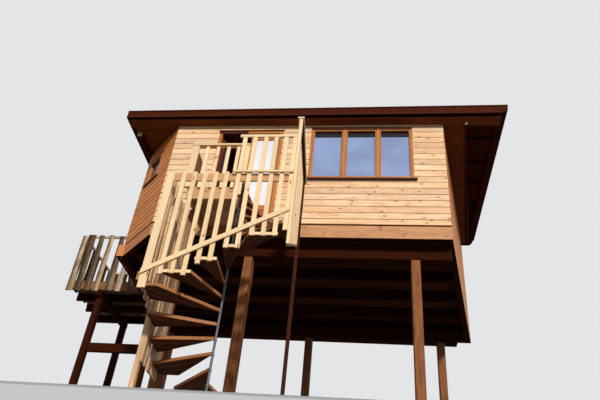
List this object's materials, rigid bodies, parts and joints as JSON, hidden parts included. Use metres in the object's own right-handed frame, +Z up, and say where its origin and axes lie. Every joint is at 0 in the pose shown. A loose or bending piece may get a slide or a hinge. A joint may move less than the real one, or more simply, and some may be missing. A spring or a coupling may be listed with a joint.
{
  "type": "tree house",
  "caption": "Raised timber cabin on posts with a low-pitched roof, a square winder stair inside batten screens, a railed landing and a side deck with a slab railing.",
  "frame": {"origin": "centre of the bounding box on the ground", "axes": "+X along the front wall to the right, +Y from the front into the cabin, +Z up"},
  "size_m": [8.64, 6.38, 6.2],
  "materials": {
    "post_wood": "rough sawn, brown stained",
    "beam_wood": "rough sawn, dark",
    "floor_boards": "planed boards",
    "rim_wood": "planed, oiled",
    "cladding": "horizontal pine boards, oiled",
    "joinery": "varnished orange-brown",
    "glazing": "clear",
    "roof_timber": "dark red-brown stain",
    "roof_covering": "dark felt with fine grit",
    "steel_pole": "galvanised",
    "treads": "sawn, oiled",
    "screen_pine": "new pale pine",
    "shaded_pine": "brown pine",
    "slab_wood": "weathered slabs"
  },
  "bodies": {
    "house": {"ground_posts": "post_wood", "main_beams": "beam_wood", "floor_joists": "beam_wood", "cabin_floor": "floor_boards", "front_rim_beam": "rim_wood", "chamfer_rim_beam": "rim_wood", "left_rim_beam": "rim_wood", "right_rim_beam": "rim_wood", "rear_rim_beam": "rim_wood", "front_wall_left": "cladding", "door_header": "cladding", "front_wall_right": "cladding", "chamfer_wall": "cladding", "left_wall": "cladding", "right_wall": "cladding", "rear_wall": "cladding", "window_frame": "joinery", "window_glass": "glazing", "chamfer_window_frame": "joinery", "door_frame": "joinery", "eave_board": "roof_timber", "eave_beams": "roof_timber", "roof_joists": "roof_timber", "roof_deck": "roof_covering", "front_fascia": "roof_timber", "rear_fascia": "roof_timber", "side_fascias": "roof_timber", "stair_pole": "steel_pole", "stair_treads": "treads", "front_screen": "screen_pine", "corner_plank": "screen_pine", "left_screen": "shaded_pine", "right_screen": "screen_pine", "stair_posts": "post_wood", "landing_deck": "screen_pine", "landing_railing": "screen_pine", "rear_deck_boards": "slab_wood", "rear_deck_frame": "post_wood", "slab_rail_front": "slab_wood", "slab_rail_left": "slab_wood", "slab_rail_rear": "slab_wood"},
    "left_leaf": {"left_door_leaf": "joinery", "left_door_glass": "glazing"},
    "right_leaf": {"right_door_leaf": "joinery", "right_door_glass": "glazing"}
  },
  "joints": [
    {"name": "left_leaf_hinge", "type": "hinge", "parent": "house", "child": "left_leaf", "pos_m": [-1.008, -0.975, 4.65], "axis": [0, 0, 1], "range_deg": [-90, 0]},
    {"name": "right_leaf_hinge", "type": "hinge", "parent": "house", "child": "right_leaf", "pos_m": [0.118, -0.975, 4.65], "axis": [0, 0, 1], "range_deg": [-90, 0]}
  ]
}
